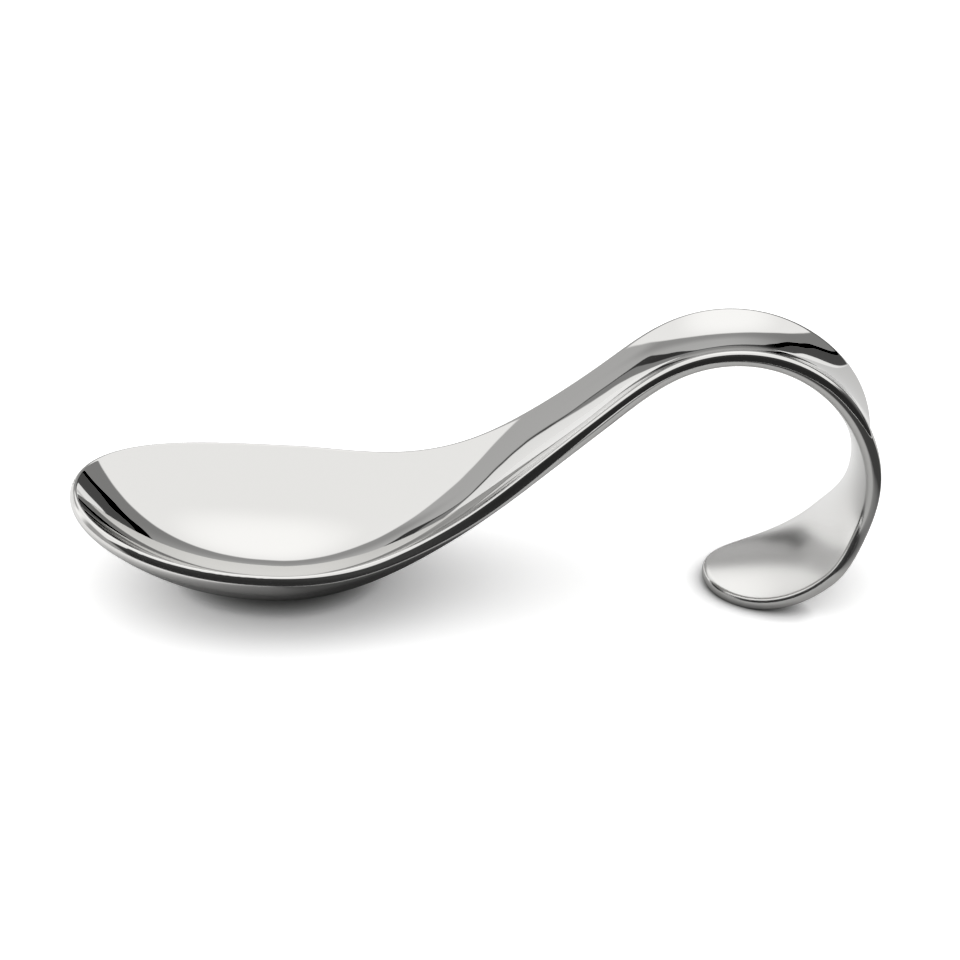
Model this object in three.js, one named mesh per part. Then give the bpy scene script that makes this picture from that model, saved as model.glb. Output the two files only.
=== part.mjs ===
// Amuse bouche spoon: one strip of polished stainless steel, dished at one end and curled over at the other.
// Millimetres, +Z up. The bowl points to -X, the curl is at +X, and both rest on the table at z = 0.
// The strip is drawn as a bent and dished middle sheet, which is then thickened to both sides and
// rounded off along its whole edge. It is cut across at three places into the four zones named below.
import * as THREE from 'three';

// Side view: the line of the strip's upper edge, bend after bend from the bowl's tip to the curl's end
const BOWL_EDGE_LENGTH = 38.75;
const BOWL_EDGE_RADIUS = 163;
const NECK_LENGTH = 27.1;
const NECK_RADIUS = 42.5;
const SHANK_LENGTH = 25.5;
const SHANK_RADIUS = 251;
const LOOP_RADIUS = 21.7;
const PADDLE_BEND_LENGTH = 28.4;
const PADDLE_BEND_RADIUS = 20.4;
const BEND_EASING = 12; // length over which one bend runs into the next

// Rounded ends, from the widest place to the tip: a bluntness of 2 is a half ellipse, more is squarer
const BOWL_FRONT_LENGTH = 31.4;
const BOWL_FRONT_BLUNTNESS = 2.38;
const PADDLE_LENGTH = 21.1;
const PADDLE_BLUNTNESS = 2.73;

// Widths across the strip
const BOWL_WIDTH = 42.1;
const MID_NECK_WIDTH = 30.7;
const NECK_END_WIDTH = 22.6;
const MID_SHANK_WIDTH = 18.2;
const SHANK_END_WIDTH = 16.8;
const CROWN_WIDTH = 16;
const LOOP_BACK_WIDTH = 15.8;
const CURL_SIDE_WIDTH = 17.3;
const CURL_LOW_WIDTH = 18.2;
const PADDLE_WIDTH = 22.4;

// Depths of the hollow below the edge line: the bowl, and the shallow channel that runs on from it
const BOWL_DEPTH = 9.95;
const MID_NECK_DEPTH = 5.55;
const NECK_END_DEPTH = 2.5;
const MID_SHANK_DEPTH = 1.35;
const SHANK_END_DEPTH = 1.45;
const CROWN_DEPTH = 1.5;
const LOOP_BACK_DEPTH = 1.25;
const PADDLE_DEPTH = 1.7;

// Thicknesses of the steel
const BOWL_TIP_THICKNESS = 2;
const BOWL_THICKNESS = 2.6;
const MID_NECK_THICKNESS = 1.85;
const NECK_END_THICKNESS = 2.05;
const SHANK_END_THICKNESS = 2.35;
const CROWN_THICKNESS = 2.35;
const LOOP_BACK_THICKNESS = 2.75;
const CURL_SIDE_THICKNESS = 2.4;
const PADDLE_THICKNESS = 2.2;

// How square the steel's edge is: 2 is a full round, more is flatter with tighter corners
const BOWL_EDGE_SQUARENESS = 2.1;
const NECK_EDGE_SQUARENESS = 3.75;
const SHANK_END_EDGE_SQUARENESS = 2.25;
const LOOP_EDGE_SQUARENESS = 2.55;

// How far the bowl's edge lies above the middle of the steel, as a share of half the thickness
const BOWL_EDGE_RISE = 0.6;

// Places round the loop, in degrees of turn after the shank
const CROWN_TURN = 45;
const LOOP_BACK_TURN = 92;
const CURL_SIDE_TURN = 130;
const CURL_LOW_TURN = 157;

// The underside is polished flat by this much where it stands on the table
const FOOT_FLAT_DEPTH = 0.2;

// Fineness of the mesh
const LINE_STEP = 0.1; // along the edge line
const ROW_STEP = 2.2; // between cross sections
const ROWS_PER_END = 16;
const COLUMNS_INSIDE = 20;
const COLUMNS_PER_EDGE = 4;
const SLOPE_STEP = 0.01; // for measuring the sheet's slope

const RADIANS = Math.PI / 180;

// Distances along the edge line
const bowlEnd = BOWL_EDGE_LENGTH;
const neckEnd = bowlEnd + NECK_LENGTH;
const shankEnd = neckEnd + SHANK_LENGTH;
const roundLoop = (degrees) => shankEnd + LOOP_RADIUS * degrees * RADIANS;
const bowlWidest = BOWL_FRONT_LENGTH;
const midNeck = (bowlEnd + neckEnd) / 2;
const midShank = (neckEnd + shankEnd) / 2;
const crown = roundLoop(CROWN_TURN);
const loopBack = roundLoop(LOOP_BACK_TURN);
const curlSide = roundLoop(CURL_SIDE_TURN);
const curlLow = roundLoop(CURL_LOW_TURN);
const stripEnd = curlLow + PADDLE_BEND_LENGTH;
const paddleWidest = stripEnd - PADDLE_LENGTH;

// A cubic curve through [distance, value] pairs that is level at both ends and has no jump in its bending
function smoothCurve(points) {
  const count = points.length;
  const gap = (i) => points[i + 1][0] - points[i][0];
  const rise = (i) => (points[i + 1][1] - points[i][1]) / gap(i);
  // One line of equations for the slope at each point, solved from the first to the last and back
  const ratio = [0];
  const slope = [0];
  for (let i = 1; i < count - 1; i++) {
    const [before, after] = [1 / gap(i - 1), 1 / gap(i)];
    const pivot = 2 * (before + after) - before * ratio[i - 1];
    ratio[i] = after / pivot;
    slope[i] = (3 * (rise(i - 1) * before + rise(i) * after) - before * slope[i - 1]) / pivot;
  }
  slope[count - 1] = 0;
  for (let i = count - 2; i > 0; i--) slope[i] -= ratio[i] * slope[i + 1];
  return (distance) => {
    const place = THREE.MathUtils.clamp(distance, points[0][0], points[count - 1][0]);
    let i = 0;
    while (i < count - 2 && place > points[i + 1][0]) i++;
    const [length, f] = [gap(i), (place - points[i][0]) / gap(i)];
    return points[i][1] * (1 + 2 * f) * (1 - f) ** 2 + points[i + 1][1] * f * f * (3 - 2 * f)
      + length * f * (1 - f) * (slope[i] * (1 - f) - slope[i + 1] * f);
  };
}

const halfWidthBeforeEnds = smoothCurve([
  [bowlWidest, BOWL_WIDTH / 2], [midNeck, MID_NECK_WIDTH / 2], [neckEnd, NECK_END_WIDTH / 2],
  [midShank, MID_SHANK_WIDTH / 2], [shankEnd, SHANK_END_WIDTH / 2], [crown, CROWN_WIDTH / 2],
  [loopBack, LOOP_BACK_WIDTH / 2], [curlSide, CURL_SIDE_WIDTH / 2], [curlLow, CURL_LOW_WIDTH / 2],
  [paddleWidest, PADDLE_WIDTH / 2],
]);
const hollowDepth = smoothCurve([
  [bowlWidest, BOWL_DEPTH], [midNeck, MID_NECK_DEPTH], [neckEnd, NECK_END_DEPTH],
  [midShank, MID_SHANK_DEPTH], [shankEnd, SHANK_END_DEPTH], [crown, CROWN_DEPTH],
  [loopBack, LOOP_BACK_DEPTH], [paddleWidest, PADDLE_DEPTH],
]);
const thickness = smoothCurve([
  [0, BOWL_TIP_THICKNESS], [bowlWidest, BOWL_THICKNESS], [midNeck, MID_NECK_THICKNESS],
  [neckEnd, NECK_END_THICKNESS], [shankEnd, SHANK_END_THICKNESS], [crown, CROWN_THICKNESS],
  [loopBack, LOOP_BACK_THICKNESS], [curlSide, CURL_SIDE_THICKNESS], [paddleWidest, PADDLE_THICKNESS],
]);
const edgeSquareness = smoothCurve([
  [bowlWidest, BOWL_EDGE_SQUARENESS], [midNeck, NECK_EDGE_SQUARENESS], [neckEnd, NECK_EDGE_SQUARENESS],
  [shankEnd, SHANK_END_EDGE_SQUARENESS], [crown, LOOP_EDGE_SQUARENESS],
]);
const edgeRise = smoothCurve([[bowlWidest, BOWL_EDGE_RISE], [midNeck, 0]]);

// The rounded end that a place is nearer to, and the share of that end that lies before the place
function endAt(along) {
  const [length, bluntness, before] = along < bowlWidest
    ? [BOWL_FRONT_LENGTH, BOWL_FRONT_BLUNTNESS, bowlWidest - along]
    : [PADDLE_LENGTH, PADDLE_BLUNTNESS, Math.max(0, along - paddleWidest)];
  return { length, bluntness, share: Math.min(1, before / length) };
}

// How much an end leaves of the strip: 1 up to the end's widest place, 0 at its tip
function narrowing(along) {
  const { bluntness, share } = endAt(along);
  return 1 - share ** bluntness;
}
const halfWidth = (along) => halfWidthBeforeEnds(along) * Math.sqrt(narrowing(along));

// The turn of the edge line up to a place, with each bend eased into the next
function turnUpTo(along) {
  const bends = [
    [-Infinity, bowlEnd, 1 / BOWL_EDGE_RADIUS], [bowlEnd, neckEnd, 1 / NECK_RADIUS],
    [neckEnd, shankEnd, 1 / SHANK_RADIUS], [shankEnd, curlLow, -1 / LOOP_RADIUS],
    [curlLow, Infinity, -1 / PADDLE_BEND_RADIUS],
  ];
  const from = (start) => Math.max(start, -BEND_EASING);
  return bends.reduce((turn, [start, end, bend]) =>
    turn + bend * Math.max(0, Math.min(along, end) - from(start)), 0);
}
const bendAt = (along) =>
  (turnUpTo(along + BEND_EASING / 2) - turnUpTo(along - BEND_EASING / 2)) / BEND_EASING;

// The edge line in the side view, walked step by step from the bowl's tip at a given slope
function walkEdgeLine(tipSlope) {
  const steps = Math.ceil(stripEnd / LINE_STEP);
  const step = stripEnd / steps;
  const line = [{ x: 0, z: 0, slope: tipSlope }];
  for (let i = 0; i < steps; i++) {
    const { x, z, slope } = line[i];
    const middle = slope + bendAt((i + 0.25) * step) * step / 2;
    line.push({
      x: x + Math.cos(middle) * step, z: z + Math.sin(middle) * step,
      slope: slope + bendAt((i + 0.5) * step) * step,
    });
  }
  return (along) => {
    const i = THREE.MathUtils.clamp(Math.floor(along / step), 0, steps - 1);
    const share = along / step - i;
    const mix = (key) => line[i][key] + (line[i + 1][key] - line[i][key]) * share;
    return { x: mix('x'), z: mix('z'), slope: mix('slope') };
  };
}

// How full the hollow is at a point of the sheet: 1 in the middle, 0 all along the edge
const fullness = (along, across) =>
  Math.max(0, narrowing(along) - (across / halfWidthBeforeEnds(along)) ** 2);

// A point of the middle sheet
function sheetPoint(edgeLine, along, across) {
  const { x, z, slope } = edgeLine(along);
  const drop = hollowDepth(along) * fullness(along, across) + thickness(along) / 2;
  return new THREE.Vector3(x + drop * Math.sin(slope), across, z - drop * Math.cos(slope));
}

// How far a point of the middle sheet lies from the sheet's edge
function distanceFromEdge(along, across) {
  const { length, bluntness, share } = endAt(along);
  const fall = Math.hypot(
    bluntness * share ** (bluntness - 1) / length, 2 * across / halfWidthBeforeEnds(along) ** 2);
  return fall === 0 ? Infinity : fullness(along, across) / fall * Math.hypot(1, hollowDepth(along) * fall);
}

// How far the steel reaches from the middle sheet up (side 1) or down (side -1), rounded off at the edge
function steelReach(along, across, side) {
  const half = thickness(along) / 2;
  const radius = half * (1 - side * edgeRise(along));
  const inset = 1 - Math.min(1, distanceFromEdge(along, across) / radius);
  const squareness = edgeSquareness(along);
  return half * edgeRise(along) + side * radius * (1 - inset ** squareness) ** (1 / squareness);
}

// The points of one cross section on its upper and its lower side, from the near edge to the far edge
function crossSection(edgeLine, along) {
  const half = halfWidth(along);
  const inset = Math.min(thickness(along) / 2 * (1 + edgeRise(along)), half / 2);
  const places = [];
  for (let i = 0; i < COLUMNS_PER_EDGE; i++) {
    const turn = i / COLUMNS_PER_EDGE * Math.PI / 2;
    places.push(half - inset * (1 - Math.cos(turn) ** (2 / edgeSquareness(along))));
  }
  for (let i = 0; i <= COLUMNS_INSIDE / 2; i++) places.push((half - inset) * (1 - 2 * i / COLUMNS_INSIDE));
  const acrossAll = [...places.map((place) => -place), ...places.slice(0, -1).reverse()];
  const before = Math.max(0, along - SLOPE_STEP);
  const after = Math.min(stripEnd, along + SLOPE_STEP);
  const section = { upper: [], lower: [] };
  for (const across of acrossAll) {
    const middle = sheetPoint(edgeLine, along, across);
    const lengthwise = sheetPoint(edgeLine, after, across).sub(sheetPoint(edgeLine, before, across));
    const crosswise = sheetPoint(edgeLine, along, across + SLOPE_STEP)
      .sub(sheetPoint(edgeLine, along, across - SLOPE_STEP));
    const up = lengthwise.cross(crosswise).normalize();
    section.upper.push(middle.clone().addScaledVector(up, steelReach(along, across, 1)));
    section.lower.push(middle.clone().addScaledVector(up, steelReach(along, across, -1)));
  }
  return section;
}

// Places of the cross sections between two cuts: close together towards a tip, evenly spaced elsewhere
function rowPlaces(start, end) {
  const places = [];
  const evenly = (from, to) => {
    const count = Math.max(1, Math.ceil((to - from) / ROW_STEP));
    for (let i = 0; i < count; i++) places.push(from + (to - from) * i / count);
  };
  const quarter = (i) => i / ROWS_PER_END * Math.PI / 2;
  if (start === 0) {
    for (let i = 0; i < ROWS_PER_END; i++) places.push(bowlWidest * (1 - Math.cos(quarter(i))));
  }
  evenly(start === 0 ? bowlWidest : start, end === stripEnd ? paddleWidest : end);
  if (end === stripEnd) {
    for (let i = 0; i < ROWS_PER_END; i++) places.push(paddleWidest + PADDLE_LENGTH * Math.sin(quarter(i)));
  }
  return [...places, end];
}

// The lowest point of the strip between two places
function lowestPoint(edgeLine, start, end) {
  const points = rowPlaces(start, end).flatMap((along) => {
    const { upper, lower } = crossSection(edgeLine, along);
    return [...upper, ...lower];
  });
  return points.reduce((lowest, point) => (point.z < lowest.z ? point : lowest));
}

// The slope at the tip at which the bowl and the curl stand on the same table
function standLevel() {
  let tipSlope = 0;
  for (let i = 0; i < 6; i++) {
    const edgeLine = walkEdgeLine(tipSlope);
    const bowlFoot = lowestPoint(edgeLine, 0, midNeck);
    const curlFoot = lowestPoint(edgeLine, loopBack, stripEnd);
    tipSlope -= Math.atan2(curlFoot.z - bowlFoot.z, curlFoot.x - bowlFoot.x);
  }
  return walkEdgeLine(tipSlope);
}

const edgeLine = standLevel();
const tableHeight = lowestPoint(edgeLine, 0, midNeck).z + FOOT_FLAT_DEPTH;

// The closed solid between two cuts across the strip
function stripSolid(start, end) {
  const places = rowPlaces(start, end);
  const corners = [];
  const addCorner = (point) => corners.push(point.x, point.y, Math.max(0, point.z - tableHeight)) / 3 - 1;
  const isTip = (along) => along === 0 || along === stripEnd;
  const rows = places.map((along) => {
    const { upper, lower } = crossSection(edgeLine, along);
    if (isTip(along)) {
      const tip = addCorner(upper[0]);
      return { upper: upper.map(() => tip), lower: lower.map(() => tip) };
    }
    const row = { upper: upper.map(addCorner), lower: [] };
    const last = upper.length - 1;
    lower.forEach((point, i) => row.lower.push(i === 0 || i === last ? row.upper[i] : addCorner(point)));
    return row;
  });
  const faces = [];
  const addFace = (a, b, c) => { if (a !== b && b !== c && c !== a) faces.push(a, b, c); };
  const addPanel = (a, b, c, d) => { addFace(a, b, c); addFace(a, c, d); };
  const columns = rows[0].upper.length - 1;
  for (let i = 0; i < columns; i++) {
    for (let j = 0; j + 1 < rows.length; j++) {
      const [row, next] = [rows[j], rows[j + 1]];
      addPanel(row.upper[i], next.upper[i], next.upper[i + 1], row.upper[i + 1]);
      addPanel(row.lower[i], row.lower[i + 1], next.lower[i + 1], next.lower[i]);
    }
    const [first, last] = [rows[0], rows[rows.length - 1]];
    if (!isTip(start)) addPanel(first.upper[i], first.upper[i + 1], first.lower[i + 1], first.lower[i]);
    if (!isTip(end)) addPanel(last.upper[i], last.lower[i], last.lower[i + 1], last.upper[i + 1]);
  }
  const geometry = new THREE.BufferGeometry();
  geometry.setAttribute('position', new THREE.Float32BufferAttribute(corners, 3));
  geometry.setIndex(faces);
  return geometry;
}

const zones = [
  ['bowl', 0, midNeck],
  ['neck', midNeck, shankEnd],
  ['arch', shankEnd, loopBack],
  ['curl', loopBack, stripEnd],
];

const spoon = new THREE.Group();
spoon.name = 'amuse_bouche_spoon';
for (const [name, start, end] of zones) {
  const polishedSteel = new THREE.MeshStandardMaterial({ color: 0xcfcfcd, roughness: 0.08, metalness: 1 });
  const zone = new THREE.Mesh(stripSolid(start, end), polishedSteel);
  zone.name = name;
  spoon.add(zone);
}

// The origin is on the table, under the middle of the spoon's length
const middle = new THREE.Box3().setFromObject(spoon).getCenter(new THREE.Vector3());
for (const zone of spoon.children) {
  zone.geometry.translate(-middle.x, 0, 0);
  zone.geometry.computeVertexNormals();
}

export default spoon;
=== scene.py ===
import math

import bpy
import numpy as np
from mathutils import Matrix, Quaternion, Vector


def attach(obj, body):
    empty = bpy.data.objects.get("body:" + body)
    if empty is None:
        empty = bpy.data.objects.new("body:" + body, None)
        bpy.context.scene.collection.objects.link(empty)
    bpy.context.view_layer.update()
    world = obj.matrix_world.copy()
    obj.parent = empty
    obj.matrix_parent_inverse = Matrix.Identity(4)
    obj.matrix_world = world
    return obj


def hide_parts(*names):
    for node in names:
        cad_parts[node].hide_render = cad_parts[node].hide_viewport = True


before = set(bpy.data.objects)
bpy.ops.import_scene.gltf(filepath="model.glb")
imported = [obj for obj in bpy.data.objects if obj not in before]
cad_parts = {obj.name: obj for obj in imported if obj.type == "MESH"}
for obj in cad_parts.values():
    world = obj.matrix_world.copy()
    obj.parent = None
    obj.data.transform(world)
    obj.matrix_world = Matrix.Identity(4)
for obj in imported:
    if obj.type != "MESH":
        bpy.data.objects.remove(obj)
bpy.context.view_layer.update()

MILLIMETRE = 0.001

# Side view: the line of the strip's upper edge, bend after bend from the bowl's tip, in millimetres
BOWL_EDGE_LENGTH = 38.75
BOWL_EDGE_RADIUS = 163
NECK_LENGTH = 27.1
NECK_RADIUS = 42.5
SHANK_LENGTH = 25.5
SHANK_RADIUS = 251
LOOP_RADIUS = 21.7
PADDLE_BEND_LENGTH = 28.4
PADDLE_BEND_RADIUS = 20.4
BEND_EASING = 12  # length over which one bend runs into the next

# Rounded ends, from the widest place to the tip: a bluntness of 2 is a half ellipse, more is squarer
BOWL_FRONT_LENGTH = 31.4
BOWL_FRONT_BLUNTNESS = 2.38
PADDLE_LENGTH = 21.1
PADDLE_BLUNTNESS = 2.73

# Places round the loop, in degrees of turn after the shank
CROWN_TURN = 45
LOOP_BACK_TURN = 92
CURL_SIDE_TURN = 130
CURL_LOW_TURN = 157

# The underside is polished flat by this much where it stands on the table
FOOT_FLAT_DEPTH = 0.2

# Fineness of the mesh
EDGE_LINE_STEPS = 4000
BOWL_END_ROWS = 90
MIDDLE_ROWS = 200
PADDLE_END_ROWS = 60
COLUMNS = 121
MERGE_DISTANCE = 1e-8  # metres
SMALLEST_FALL = 1e-6  # by which the hollow falls per metre, along the middle of the strip
STANDING_TURNS = 6  # turns by which the spoon settles on its two feet

# Distances along the edge line
bowl_end = BOWL_EDGE_LENGTH
neck_end = bowl_end + NECK_LENGTH
shank_end = neck_end + SHANK_LENGTH
bowl_widest = BOWL_FRONT_LENGTH
mid_neck = (bowl_end + neck_end) / 2
mid_shank = (neck_end + shank_end) / 2
crown, loop_back, curl_side, curl_low = (
    shank_end + LOOP_RADIUS * math.radians(turn)
    for turn in (CROWN_TURN, LOOP_BACK_TURN, CURL_SIDE_TURN, CURL_LOW_TURN)
)
strip_end = curl_low + PADDLE_BEND_LENGTH
paddle_widest = strip_end - PADDLE_LENGTH

# Sizes across the strip at those places
WIDTHS = [
    (bowl_widest, 42.1), (mid_neck, 30.7), (neck_end, 22.6), (mid_shank, 18.2), (shank_end, 16.8),
    (crown, 16), (loop_back, 15.8), (curl_side, 17.3), (curl_low, 18.2), (paddle_widest, 22.4),
]
HOLLOW_DEPTHS = [
    (bowl_widest, 9.95), (mid_neck, 5.55), (neck_end, 2.5), (mid_shank, 1.35), (shank_end, 1.45),
    (crown, 1.5), (loop_back, 1.25), (paddle_widest, 1.7),
]
THICKNESSES = [
    (0, 2), (bowl_widest, 2.6), (mid_neck, 1.85), (neck_end, 2.05), (shank_end, 2.35), (crown, 2.35),
    (loop_back, 2.75), (curl_side, 2.4), (paddle_widest, 2.2),
]
# How square the steel's edge is: 2 is a full round, more is flatter with tighter corners
EDGE_SQUARENESSES = [
    (bowl_widest, 2.1), (mid_neck, 3.75), (neck_end, 3.75), (shank_end, 2.25), (crown, 2.55),
]
# How far the edge lies above the middle of the steel, as a share of half the thickness
EDGE_RISES = [(bowl_widest, 0.6), (mid_neck, 0)]

# Camera at the photograph's viewing angle
CAMERA_TARGET = (1.367, 0, 16.84)
CAMERA_DISTANCE = 411.8
CAMERA_ELEVATION = 28.56
CAMERA_AZIMUTH = -1.17
CAMERA_ROLL = -0.207
CAMERA_LENS = 103.5
CAMERA_NEAREST = 10

# Finish of the steel
STEEL_COLOUR = (0.62, 0.615, 0.602, 1)
MIRROR_ROUGHNESS = 0.035
MIRROR_ROUGHNESS_SPREAD = 0.015
SATIN_ROUGHNESS = 0.22
SATIN_ROUGHNESS_SPREAD = 0.05
MARKS_PER_METRE = (300, 9000, 1)  # along the strip, across it, and none through it
WAVES_PER_METRE = 160
WAVINESS = 0.00002  # height of the waves, in metres

# Light all round, where 1 is white
PLAIN_LIGHT = 1

# The studio as it shows in the steel: angles in degrees, and brightness where 1 is white
SOFTBOX_BACK = 33  # over the spoon, from the table at the back to the table in front
SOFTBOX_BACK_RISE = 11  # by which the back edge stands higher at its ends
SOFTBOX_FRONT = 116
SOFTBOX_RIGHT = 62  # from straight over the spoon towards the right
SOFTBOX_LIGHT = 1.27
SOFTBOX_MIDDLE_LIGHT = 1.5
SOFTBOX_MIDDLE = 57  # over the spoon
SOFTBOX_MIDDLE_SPREAD = 30
SOFTBOX_END_LIGHT = 0.12
FRONT_HIGH_LIGHT = 0.07
FRONT_LOW_LIGHT = 0.03
LEFT_EDGE = 58  # from straight over the spoon towards the left
LEFT_LIGHT = 0.48
LEFT_BACK_LIGHT = 1.4
WALL_LIGHT = 0.6
WALL_TOP_LIGHT = 0.42
RIGHT_WALL_LIGHT = 0.31
TABLE_LIGHT = 1.12
SHADE_LIGHT = 0.3
RIGHT_SHADE_LIGHT = 0.09

# Soft edges between those: half their width, or where they start and end, in degrees
GAP_SOFTNESS = 0.4
SOFTBOX_BACK_SOFTNESS = 1
SOFTBOX_FRONT_SOFTNESS = 2
SIDE_SOFTNESS = 4
WALL_TOP_FADE = (20, 30)  # over the spoon
WALL_TOP_LEFT_FADE = (-44, -34)  # round to the right, as the next three
RIGHT_WALL_FADE = (-2, 30)
RIGHT_SHADE_FADE = (-4, 14)
LEFT_BACK_FADE = (-85, -70)
FRONT_FADE_END = 155  # over the spoon

# Behind the table, from its back edge up: (round to the right, height) along the edges of what shows there
TABLE_TOP = [
    (-60, 14.5), (-44, 11.2), (-36, 9.3), (-30, 7.6), (-24, 5.4), (-17, 2.4), (-8, 1), (4, 2), (11, 1),
    (16, 2), (20, 4.8), (23, 6.2), (27, 5.4), (32, 2.8), (38, 1), (60, 0),
]
GAP_FOOT = [
    (-60, 14.5), (-44, 11.2), (-36, 9.3), (-32.5, 9), (-30, 12.5), (-26, 11.4), (-20, 8.6), (-14, 7),
    (-8, 6), (4, 6), (11, 5), (14, 7), (17, 10.5), (20, 13.6), (24, 15.8), (30, 15.4), (36, 15.4),
    (40, 12.4), (46, 8), (60, 5),
]
GAP_TOP = [
    (-60, 15.3), (-44, 12), (-36, 10.4), (-32.5, 10.2), (-30.5, 17.8), (-26, 17.2), (-20, 15), (-14, 13),
    (-9, 9.5), (-6, 7.6), (4, 8.6), (10, 9.5), (13.5, 13.2), (17, 15.8), (20, 18.2), (24, 20), (30, 19.8),
    (36, 19.6), (40, 16.4), (46, 10.8), (60, 8),
]
GAP_LIGHT = [(-60, 0.1), (-32, 0.06), (-12, 0.05), (-5, 0.08), (8, 0.08), (13, 0.01), (60, 0.008)]

# The table, in metres: its own colour, and behind and in front of the spoon as the steel shows it, by the
# place to the right, with painted shade under and in front of the spoon and towards the right, and painted
# light to the left and behind
TABLE_HALF_SIZE = 3
TABLE_COLOUR = 0.97
TABLE_IN_CAMERA = 1.45
TABLE_FRONT_TO_BACK = (0.005, 0.05)
BACK_TABLE_PAINTED_LIGHT_AND_SHADE = [(-0.05, 1.15), (0.05, 1.1), (0.09, 0.72)]
FRONT_TABLE_PAINTED_LIGHT_AND_SHADE = [
    (-0.09, 1.15), (-0.062, 0.7), (-0.046, 0.36), (-0.027, 0.2), (-0.011, 0.1), (0.004, 0.17),
    (0.02, 0.6), (0.055, 0.62), (0.07, 0.4), (0.095, 0.06),
]
PAINTED_CONTACT_SHADE_REACH = 0.003  # metres over which shade is painted into the table's colour where the steel comes near it


def smooth_curve(points):
    """A cubic curve through (distance, value) points, level at both ends, with no jump in its bending."""
    places, values = np.array(points, float).T
    gaps = np.diff(places)
    rises = np.diff(values) / gaps
    matrix, wanted = np.eye(len(places)), np.zeros(len(places))
    for i in range(1, len(places) - 1):
        before, after = 1 / gaps[i - 1], 1 / gaps[i]
        matrix[i, i - 1:i + 2] = before, 2 * (before + after), after
        wanted[i] = 3 * (rises[i - 1] * before + rises[i] * after)
    slopes = np.linalg.solve(matrix, wanted)

    def curve(distance):
        place = np.clip(distance, places[0], places[-1])
        i = np.clip(np.searchsorted(places, place, side="right") - 1, 0, len(gaps) - 1)
        f = (place - places[i]) / gaps[i]
        return (values[i] * (1 + 2 * f) * (1 - f) ** 2 + values[i + 1] * f * f * (3 - 2 * f)
                + gaps[i] * f * (1 - f) * (slopes[i] * (1 - f) - slopes[i + 1] * f))

    return curve


def turn_up_to(along):
    """The turn of the edge line up to a place, before its bends are eased into each other."""
    starts = (-BEND_EASING, bowl_end, neck_end, shank_end, curl_low)
    ends = (bowl_end, neck_end, shank_end, curl_low, strip_end + BEND_EASING)
    radii = (BOWL_EDGE_RADIUS, NECK_RADIUS, SHANK_RADIUS, -LOOP_RADIUS, -PADDLE_BEND_RADIUS)
    return sum((np.clip(along, start, end) - start) / radius
               for start, end, radius in zip(starts, ends, radii))


def running_sum(values, step):
    """The area under a row of values up to each of them."""
    return np.concatenate([[0], np.cumsum((values[1:] + values[:-1]) / 2 * step)])


def edge_line_at(along):
    """The edge line's x, z and slope at places along it, in the side view, level at the bowl's tip."""
    walk = np.linspace(0, strip_end, EDGE_LINE_STEPS + 1)
    step = walk[1]
    bend = (turn_up_to(walk + BEND_EASING / 2) - turn_up_to(walk - BEND_EASING / 2)) / BEND_EASING
    slope = running_sum(bend, step)
    x, z = running_sum(np.cos(slope), step), running_sum(np.sin(slope), step)
    return (np.interp(along, walk, line) for line in (x, z, slope))


def row_places():
    """Places of the mesh's rows: close together towards both tips, evenly spaced between."""
    to_bowl = bowl_widest * (1 - np.cos(np.linspace(0, math.pi / 2, BOWL_END_ROWS, endpoint=False)))
    between = np.linspace(bowl_widest, paddle_widest, MIDDLE_ROWS, endpoint=False)
    to_tip = paddle_widest + PADDLE_LENGTH * np.sin(np.linspace(0, math.pi / 2, PADDLE_END_ROWS))
    return np.concatenate([to_bowl, between, to_tip])


def make_edge_line():
    """The edge line as a mesh of one point per row, which carries the strip's sizes at that row."""
    along = row_places()
    x, z, slope = edge_line_at(along)
    at_bowl = along < bowl_widest
    into_end = np.where(at_bowl, bowl_widest - along, np.maximum(0, along - paddle_widest))
    end_length = np.where(at_bowl, BOWL_FRONT_LENGTH, PADDLE_LENGTH)
    bluntness = np.where(at_bowl, BOWL_FRONT_BLUNTNESS, PADDLE_BLUNTNESS)
    end_share = np.minimum(1, into_end / end_length)
    sizes = {
        "along": along * MILLIMETRE,
        "slope": slope,
        "narrowing": 1 - end_share ** bluntness,
        "narrowing rate": bluntness * end_share ** (bluntness - 1) / (end_length * MILLIMETRE),
        "full half width": smooth_curve(WIDTHS)(along) / 2 * MILLIMETRE,
        "hollow depth": smooth_curve(HOLLOW_DEPTHS)(along) * MILLIMETRE,
        "thickness": smooth_curve(THICKNESSES)(along) * MILLIMETRE,
        "squareness": smooth_curve(EDGE_SQUARENESSES)(along),
        "edge rise": smooth_curve(EDGE_RISES)(along),
    }
    line = bpy.data.meshes.new("edge_line")
    points = np.stack([x, np.zeros(len(x)), z], 1) * MILLIMETRE
    line.from_pydata(points.tolist(), [(i, i + 1) for i in range(len(x) - 1)], [])
    for name, values in sizes.items():
        line.attributes.new(name, "FLOAT", "POINT").data.foreach_set("value", values)
    return line


def add_node(tree, kind, inputs=None, **settings):
    """A node of that kind with its settings, and its inputs linked or set by name or number."""
    node = tree.nodes.new(kind)
    for name, value in settings.items():
        setattr(node, name, value)
    for key, value in (inputs or {}).items():
        if isinstance(value, bpy.types.NodeSocket):
            tree.links.new(value, node.inputs[key])
        else:
            node.inputs[key].default_value = value
    return node


def calculate(tree, operation, *values):
    """The result of a Math node."""
    return add_node(tree, "ShaderNodeMath", dict(enumerate(values)), operation=operation).outputs[0]


def vector(tree, x, y, z):
    """A vector put together from three values."""
    return add_node(tree, "ShaderNodeCombineXYZ", {"X": x, "Y": y, "Z": z}).outputs[0]


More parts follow.
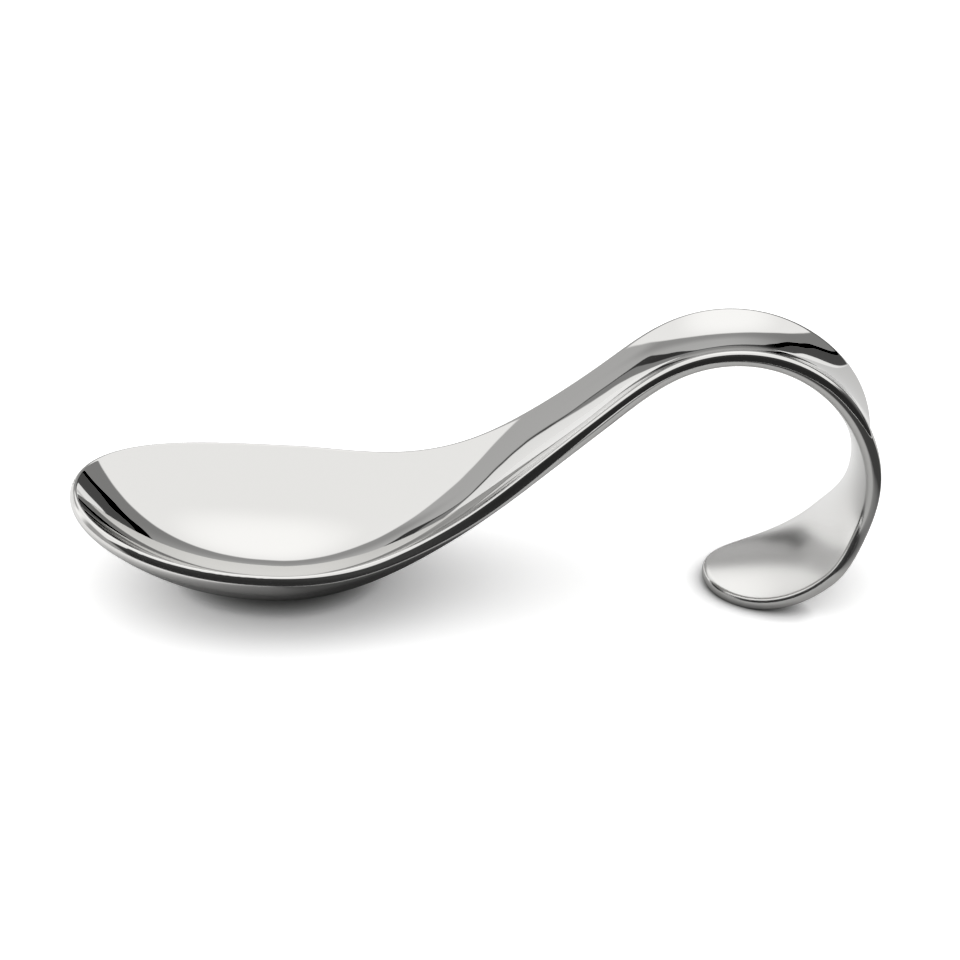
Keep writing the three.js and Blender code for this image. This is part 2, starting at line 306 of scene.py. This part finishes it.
def make_strip_tree():
    """The loft: a grid bent along the edge line, dished, thickened to both sides and rounded at its edge."""
    tree = bpy.data.node_groups.new("bent_and_dished_strip", "GeometryNodeTree")
    tree.interface.new_socket("Edge line", in_out="INPUT", socket_type="NodeSocketGeometry")
    tree.interface.new_socket("Columns", in_out="INPUT", socket_type="NodeSocketInt")
    tree.interface.new_socket("Finish", in_out="INPUT", socket_type="NodeSocketMaterial")
    tree.interface.new_socket("Strip", in_out="OUTPUT", socket_type="NodeSocketGeometry")
    given = add_node(tree, "NodeGroupInput").outputs
    edge_line, columns = given["Edge line"], given["Columns"]

    def math_of(operation, *values):
        return calculate(tree, operation, *values)

    def hypotenuse(a, b):
        return math_of("SQRT", math_of("ADD", math_of("MULTIPLY", a, a), math_of("MULTIPLY", b, b)))

    # A grid with one row of points for each point of the edge line
    rows = add_node(tree, "GeometryNodeAttributeDomainSize", {"Geometry": edge_line}).outputs["Point Count"]
    grid = add_node(tree, "GeometryNodeMeshGrid", {"Vertices X": rows, "Vertices Y": columns})
    index = add_node(tree, "GeometryNodeInputIndex").outputs[0]
    row = math_of("FLOOR", math_of("DIVIDE", math_of("ADD", index, 0.5), columns))
    column = math_of("SUBTRACT", index, math_of("MULTIPLY", row, columns))

    def at_row(kind, field):
        sample = add_node(tree, "GeometryNodeSampleIndex", {"Geometry": edge_line, "Index": row},
                          data_type=kind)
        tree.links.new(field, sample.inputs["Value"])
        return sample.outputs[0]

    def size(name):
        stored = add_node(tree, "GeometryNodeInputNamedAttribute", {"Name": name}, data_type="FLOAT")
        return at_row("FLOAT", stored.outputs["Attribute"])

    edge_point = at_row("FLOAT_VECTOR", add_node(tree, "GeometryNodeInputPosition").outputs[0])
    along, slope, narrowing, narrowing_rate = (
        size(name) for name in ("along", "slope", "narrowing", "narrowing rate"))
    full, depth, thickness = (size(name) for name in ("full half width", "hollow depth", "thickness"))
    squareness, edge_rise = size("squareness"), size("edge rise")

    # The middle sheet: columns close together towards both edges, dropped below the edge line by the hollow
    turn = math_of("DIVIDE", math_of("MULTIPLY", column, math.pi), math_of("SUBTRACT", columns, 1))
    half_width = math_of("MULTIPLY", full, math_of("SQRT", narrowing))
    across = math_of("MULTIPLY", half_width, math_of("MULTIPLY", math_of("COSINE", turn), -1))
    across_share = math_of("DIVIDE", across, full)
    fullness = math_of("MAXIMUM", 0, math_of("SUBTRACT", narrowing,
                                             math_of("MULTIPLY", across_share, across_share)))
    half_steel = math_of("DIVIDE", thickness, 2)
    drop = math_of("ADD", math_of("MULTIPLY", depth, fullness), half_steel)
    offset = vector(tree, math_of("MULTIPLY", drop, math_of("SINE", slope)), across,
                    math_of("MULTIPLY", drop, math_of("MULTIPLY", math_of("COSINE", slope), -1)))
    sheet_point = add_node(tree, "ShaderNodeVectorMath", {0: edge_point, 1: offset}, operation="ADD")
    sheet = add_node(tree, "GeometryNodeSetPosition",
                     {"Geometry": grid.outputs["Mesh"], "Position": sheet_point.outputs[0]})
    marked = add_node(tree, "GeometryNodeStoreNamedAttribute",
                      {"Geometry": sheet.outputs[0], "Name": "strip",
                       "Value": vector(tree, along, across, 0)},
                      data_type="FLOAT2", domain="CORNER")

    # How far the steel reaches above or below the middle sheet, rounded off towards the edge
    fall = hypotenuse(narrowing_rate, math_of("MULTIPLY", 2, math_of("DIVIDE", across_share, full)))
    to_edge = math_of("DIVIDE", fullness, math_of("MAXIMUM", fall, SMALLEST_FALL))
    from_edge = math_of("MULTIPLY", to_edge, hypotenuse(1, math_of("MULTIPLY", depth, fall)))
    normal = add_node(tree, "GeometryNodeInputNormal").outputs[0]

    def skin(side):
        radius = math_of("MULTIPLY", half_steel,
                         math_of("SUBTRACT", 1, math_of("MULTIPLY", edge_rise, side)))
        inset = math_of("SUBTRACT", 1, math_of("MINIMUM", 1, math_of("DIVIDE", from_edge, radius)))
        round_off = math_of("POWER", math_of("SUBTRACT", 1, math_of("POWER", inset, squareness)),
                            math_of("DIVIDE", 1, squareness))
        reach = math_of("ADD", math_of("MULTIPLY", half_steel, edge_rise),
                        math_of("MULTIPLY", radius, math_of("MULTIPLY", round_off, side)))
        raised = add_node(tree, "ShaderNodeVectorMath", {0: normal, "Scale": reach}, operation="SCALE")
        moved = add_node(tree, "GeometryNodeSetPosition",
                         {"Geometry": marked.outputs[0], "Offset": raised.outputs[0]})
        return add_node(tree, "GeometryNodeStoreNamedAttribute",
                        {"Geometry": moved.outputs[0], "Name": "underside",
                         "Value": math_of("MAXIMUM", 0, math_of("MULTIPLY", round_off, -side))},
                        data_type="FLOAT", domain="POINT").outputs[0]

    lower = add_node(tree, "GeometryNodeFlipFaces", {"Mesh": skin(-1)}).outputs[0]
    both = add_node(tree, "GeometryNodeJoinGeometry")
    for side in (lower, skin(1)):
        tree.links.new(side, both.inputs[0])
    closed = add_node(tree, "GeometryNodeMergeByDistance",
                      {"Geometry": both.outputs[0], "Distance": MERGE_DISTANCE})
    smooth = add_node(tree, "GeometryNodeSetShadeSmooth", {"Geometry": closed.outputs[0]})
    real = add_node(tree, "GeometryNodeRealizeInstances", {"Geometry": smooth.outputs[0]})
    finished = add_node(tree, "GeometryNodeSetMaterial",
                        {"Geometry": real.outputs[0], "Material": given["Finish"]})
    add_node(tree, "NodeGroupOutput", {"Strip": finished.outputs[0]})
    return tree


def stand_on_table(mesh):
    """Turns the strip until its bowl and its curl stand level, and flattens both feet a little."""
    flat = np.empty(len(mesh.vertices) * 3, np.float32)
    mesh.vertices.foreach_get("co", flat)
    corners = flat.reshape(-1, 3).astype(float)
    x, z = corners[:, 0].copy(), corners[:, 2].copy()
    for _ in range(STANDING_TURNS):
        middle = (x.min() + x.max()) / 2
        bowl_foot = np.argmin(np.where(x < middle, z, np.inf))
        curl_foot = np.argmin(np.where(x < middle, np.inf, z))
        tilt = math.atan2(z[curl_foot] - z[bowl_foot], x[curl_foot] - x[bowl_foot])
        x, z = (x * math.cos(tilt) + z * math.sin(tilt), z * math.cos(tilt) - x * math.sin(tilt))
    corners[:, 0] = x - (x.min() + x.max()) / 2
    corners[:, 2] = np.maximum(0, z - z.min() - FOOT_FLAT_DEPTH * MILLIMETRE)
    mesh.vertices.foreach_set("co", corners.astype(np.float32).ravel())
    mesh.update()


def make_spoon(steel):
    """The whole spoon as one piece."""
    spoon = bpy.data.objects.new("spoon", make_edge_line())
    bpy.context.scene.collection.objects.link(spoon)
    tree = make_strip_tree()
    loft = spoon.modifiers.new("loft", "NODES")
    loft.node_group = tree
    identifiers = {item.name: item.identifier for item in tree.interface.items_tree
                   if item.in_out == "INPUT"}
    loft[identifiers["Columns"]] = COLUMNS
    loft[identifiers["Finish"]] = steel
    depsgraph = bpy.context.evaluated_depsgraph_get()
    mesh = bpy.data.meshes.new_from_object(spoon.evaluated_get(depsgraph), depsgraph=depsgraph)
    mesh.name = "spoon"
    spoon.modifiers.remove(loft)
    spoon.data = mesh
    stand_on_table(mesh)
    return spoon


def step_up(tree, value, start, end):
    """0 below the start, 1 above the end, and a soft edge between them."""
    return add_node(tree, "ShaderNodeMapRange", {"Value": value, "From Min": start, "From Max": end},
                    interpolation_type="SMOOTHSTEP").outputs["Result"]


def mix(tree, share, low, high):
    """A value between two values."""
    return add_node(tree, "ShaderNodeMix", {"Factor": share, "A": low, "B": high}).outputs["Result"]


def make_steel():
    """Stainless steel, polished to a mirror on top and along the edge, and left satin underneath."""
    steel = bpy.data.materials.new("polished_steel")
    steel.use_nodes = True
    tree = steel.node_tree
    shader = tree.nodes["Principled BSDF"]
    shader.inputs["Base Color"].default_value = STEEL_COLOUR
    shader.inputs["Metallic"].default_value = 1
    strip = add_node(tree, "ShaderNodeUVMap", uv_map="strip").outputs[0]
    place = add_node(tree, "ShaderNodeTexCoord").outputs["Object"]
    underside = add_node(tree, "ShaderNodeAttribute", attribute_name="underside").outputs["Fac"]

    # Fine marks of the polishing wheel along the strip
    stretched = add_node(tree, "ShaderNodeMapping", {"Vector": strip, "Scale": MARKS_PER_METRE}).outputs[0]
    marks = add_node(tree, "ShaderNodeTexNoise", {"Vector": stretched, "Scale": 1, "Detail": 3}).outputs[0]
    polished, satin = (
        mix(tree, marks, roughness - spread, roughness + spread)
        for roughness, spread in ((MIRROR_ROUGHNESS, MIRROR_ROUGHNESS_SPREAD),
                                  (SATIN_ROUGHNESS, SATIN_ROUGHNESS_SPREAD)))
    tree.links.new(mix(tree, underside, polished, satin), shader.inputs["Roughness"])

    # The faint waviness of pressed sheet
    waves = add_node(tree, "ShaderNodeTexNoise",
                     {"Vector": place, "Scale": WAVES_PER_METRE, "Detail": 1}).outputs[0]
    bump = add_node(tree, "ShaderNodeBump", {"Height": waves, "Strength": 1, "Distance": WAVINESS})
    tree.links.new(bump.outputs[0], shader.inputs["Normal"])
    return steel


def curve_at(tree, value, points):
    """The value of a smooth curve through (place, value) points."""
    node = add_node(tree, "ShaderNodeFloatCurve", {"Value": value})
    node.mapping.use_clip = False
    node.mapping.extend = "HORIZONTAL"
    line = node.mapping.curves[0].points
    line[0].location, line[-1].location = points[0], points[-1]
    for point in points[1:-1]:
        line.new(*point)
    node.mapping.update()
    return node.outputs[0]


def mirrored(tree, path):
    """1 for light that reaches the camera by way of the steel, with the outputs of a Light Path node."""
    return calculate(tree, "MAXIMUM", path["Is Glossy Ray"], path["Is Transmission Ray"])


def make_floor():
    """A white table top, with painted shade where the steel comes near it, and painted light and shade as
    the steel shows it.
    """
    half = TABLE_HALF_SIZE
    mesh = bpy.data.meshes.new("floor")
    mesh.from_pydata([(-half, -half, 0), (half, -half, 0), (half, half, 0), (-half, half, 0)], [],
                     [(0, 1, 2, 3)])
    floor = bpy.data.objects.new("floor", mesh)
    bpy.context.scene.collection.objects.link(floor)
    material = bpy.data.materials.new("table_with_painted_light_and_shade")
    material.use_nodes = True
    tree = material.node_tree
    place = add_node(tree, "ShaderNodeTexCoord").outputs["Object"]
    x, y, _ = add_node(tree, "ShaderNodeSeparateXYZ", {"Vector": place}).outputs
    # In the steel the table shows painted shade under and in front of the spoon and painted light to the
    # left and behind
    painted_light_and_shade_in_steel = mix(tree, step_up(tree, y, *TABLE_FRONT_TO_BACK), curve_at(tree, x, FRONT_TABLE_PAINTED_LIGHT_AND_SHADE),
                   curve_at(tree, x, BACK_TABLE_PAINTED_LIGHT_AND_SHADE))
    path = add_node(tree, "ShaderNodeLightPath").outputs
    colour = mix(tree, mirrored(tree, path), TABLE_COLOUR, painted_light_and_shade_in_steel)
    colour = mix(tree, path["Is Camera Ray"], colour, TABLE_IN_CAMERA)
    # Painted shade: the table's colour darkens by ambient occlusion where the steel comes near it
    painted_contact_shade = add_node(tree, "ShaderNodeAmbientOcclusion", {"Distance": PAINTED_CONTACT_SHADE_REACH})
    shaded = calculate(tree, "MULTIPLY", colour, painted_contact_shade.outputs["AO"])
    shader = tree.nodes["Principled BSDF"]
    tree.links.new(shaded, shader.inputs["Base Color"])
    shader.inputs["Roughness"].default_value = 1
    shader.inputs["Specular IOR Level"].default_value = 0
    mesh.materials.append(material)
    return floor


def make_world():
    """Plain white all round the table, and in the steel the studio that the photograph was taken in."""
    world = bpy.data.worlds.new("studio")
    bpy.context.scene.world = world
    world.use_nodes = True
    tree = world.node_tree
    tree.nodes.clear()
    direction = add_node(tree, "ShaderNodeTexCoord").outputs["Generated"]
    x, y, z = add_node(tree, "ShaderNodeSeparateXYZ", {"Vector": direction}).outputs
    # Angles in degrees: over the spoon from the back, up from the table, round from the back to the right,
    # and from straight over the spoon to the right
    over = calculate(tree, "DEGREES", calculate(tree, "ARCTAN2", z, y))
    height = calculate(tree, "DEGREES", calculate(tree, "ARCSINE", z))
    round_right = calculate(tree, "DEGREES", calculate(tree, "ARCTAN2", x, y))
    to_right = calculate(tree, "DEGREES", calculate(tree, "ARCSINE", x))

    def above(level):
        return step_up(tree, calculate(tree, "SUBTRACT", height, level), -GAP_SOFTNESS, GAP_SOFTNESS)

    def past(angle, edge, softness):
        return step_up(tree, angle, edge - softness, edge + softness)

    # Behind the table: its far edge, what stands in shade, a dark gap, and the wall up to the softbox
    shade = mix(tree, step_up(tree, round_right, *RIGHT_SHADE_FADE), SHADE_LIGHT, RIGHT_SHADE_LIGHT)
    wall_top = calculate(tree, "MULTIPLY", step_up(tree, over, *WALL_TOP_FADE),
                         step_up(tree, round_right, *WALL_TOP_LEFT_FADE))
    wall = mix(tree, wall_top, WALL_LIGHT, WALL_TOP_LIGHT)
    wall = mix(tree, step_up(tree, round_right, *RIGHT_WALL_FADE), wall, RIGHT_WALL_LIGHT)
    light = mix(tree, above(curve_at(tree, round_right, TABLE_TOP)), TABLE_LIGHT, shade)
    light = mix(tree, above(curve_at(tree, round_right, GAP_FOOT)), light,
                curve_at(tree, round_right, GAP_LIGHT))
    light = mix(tree, above(curve_at(tree, round_right, GAP_TOP)), light, wall)

    # The softbox overhead, brightest in its middle, and the dark room in front
    middle = math.radians(SOFTBOX_MIDDLE)
    nearness = calculate(tree, "ADD", calculate(tree, "MULTIPLY", y, math.cos(middle)),
                         calculate(tree, "MULTIPLY", z, math.sin(middle)))
    glow = step_up(tree, nearness, math.cos(math.radians(SOFTBOX_MIDDLE_SPREAD)), 1)
    softbox = mix(tree, glow, SOFTBOX_LIGHT, SOFTBOX_MIDDLE_LIGHT)
    softbox = mix(tree, past(to_right, SOFTBOX_RIGHT, SIDE_SOFTNESS), softbox, SOFTBOX_END_LIGHT)
    front = mix(tree, step_up(tree, over, SOFTBOX_FRONT, FRONT_FADE_END), FRONT_HIGH_LIGHT, FRONT_LOW_LIGHT)
    rise = calculate(tree, "MULTIPLY", calculate(tree, "MULTIPLY", x, x), SOFTBOX_BACK_RISE)
    into_softbox = calculate(tree, "SUBTRACT", over, rise)
    light = mix(tree, past(into_softbox, SOFTBOX_BACK, SOFTBOX_BACK_SOFTNESS), light, softbox)
    light = mix(tree, past(over, SOFTBOX_FRONT, SOFTBOX_FRONT_SOFTNESS), light, front)

    # The room on the left, with a bright window towards the back
    left = mix(tree, step_up(tree, round_right, *LEFT_BACK_FADE), LEFT_LIGHT, LEFT_BACK_LIGHT)
    light = mix(tree, past(to_right, -LEFT_EDGE, -SIDE_SOFTNESS), light, left)

    # White for the table and the camera, the studio for the steel
    studio = add_node(tree, "ShaderNodeBackground", {"Color": light})
    plain = add_node(tree, "ShaderNodeBackground", {"Color": (1, 1, 1, 1), "Strength": PLAIN_LIGHT})
    path = add_node(tree, "ShaderNodeLightPath").outputs
    both = add_node(tree, "ShaderNodeMixShader",
                    {0: mirrored(tree, path), 1: plain.outputs[0], 2: studio.outputs[0]})
    add_node(tree, "ShaderNodeOutputWorld", {"Surface": both.outputs[0]})


def make_camera():
    """The camera that took the photograph, found from the outline of the spoon in it."""
    elevation, azimuth = math.radians(CAMERA_ELEVATION), math.radians(CAMERA_AZIMUTH)
    ahead = Vector((math.sin(azimuth) * math.cos(elevation), math.cos(azimuth) * math.cos(elevation),
                    -math.sin(elevation)))
    camera = bpy.data.objects.new("camera", bpy.data.cameras.new("camera"))
    bpy.context.scene.collection.objects.link(camera)
    camera.data.lens = CAMERA_LENS
    camera.data.clip_start = CAMERA_NEAREST * MILLIMETRE
    camera.location = (Vector(CAMERA_TARGET) - ahead * CAMERA_DISTANCE) * MILLIMETRE
    roll = Quaternion((0, 0, 1), math.radians(CAMERA_ROLL))
    camera.rotation_euler = (ahead.to_track_quat("-Z", "Y") @ roll).to_euler()
    bpy.context.scene.camera = camera


bpy.context.scene.view_settings.view_transform = "Standard"
make_camera()
make_world()
make_floor()

spoon = make_spoon(make_steel())
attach(spoon, "root")
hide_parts("bowl", "neck", "arch", "curl")
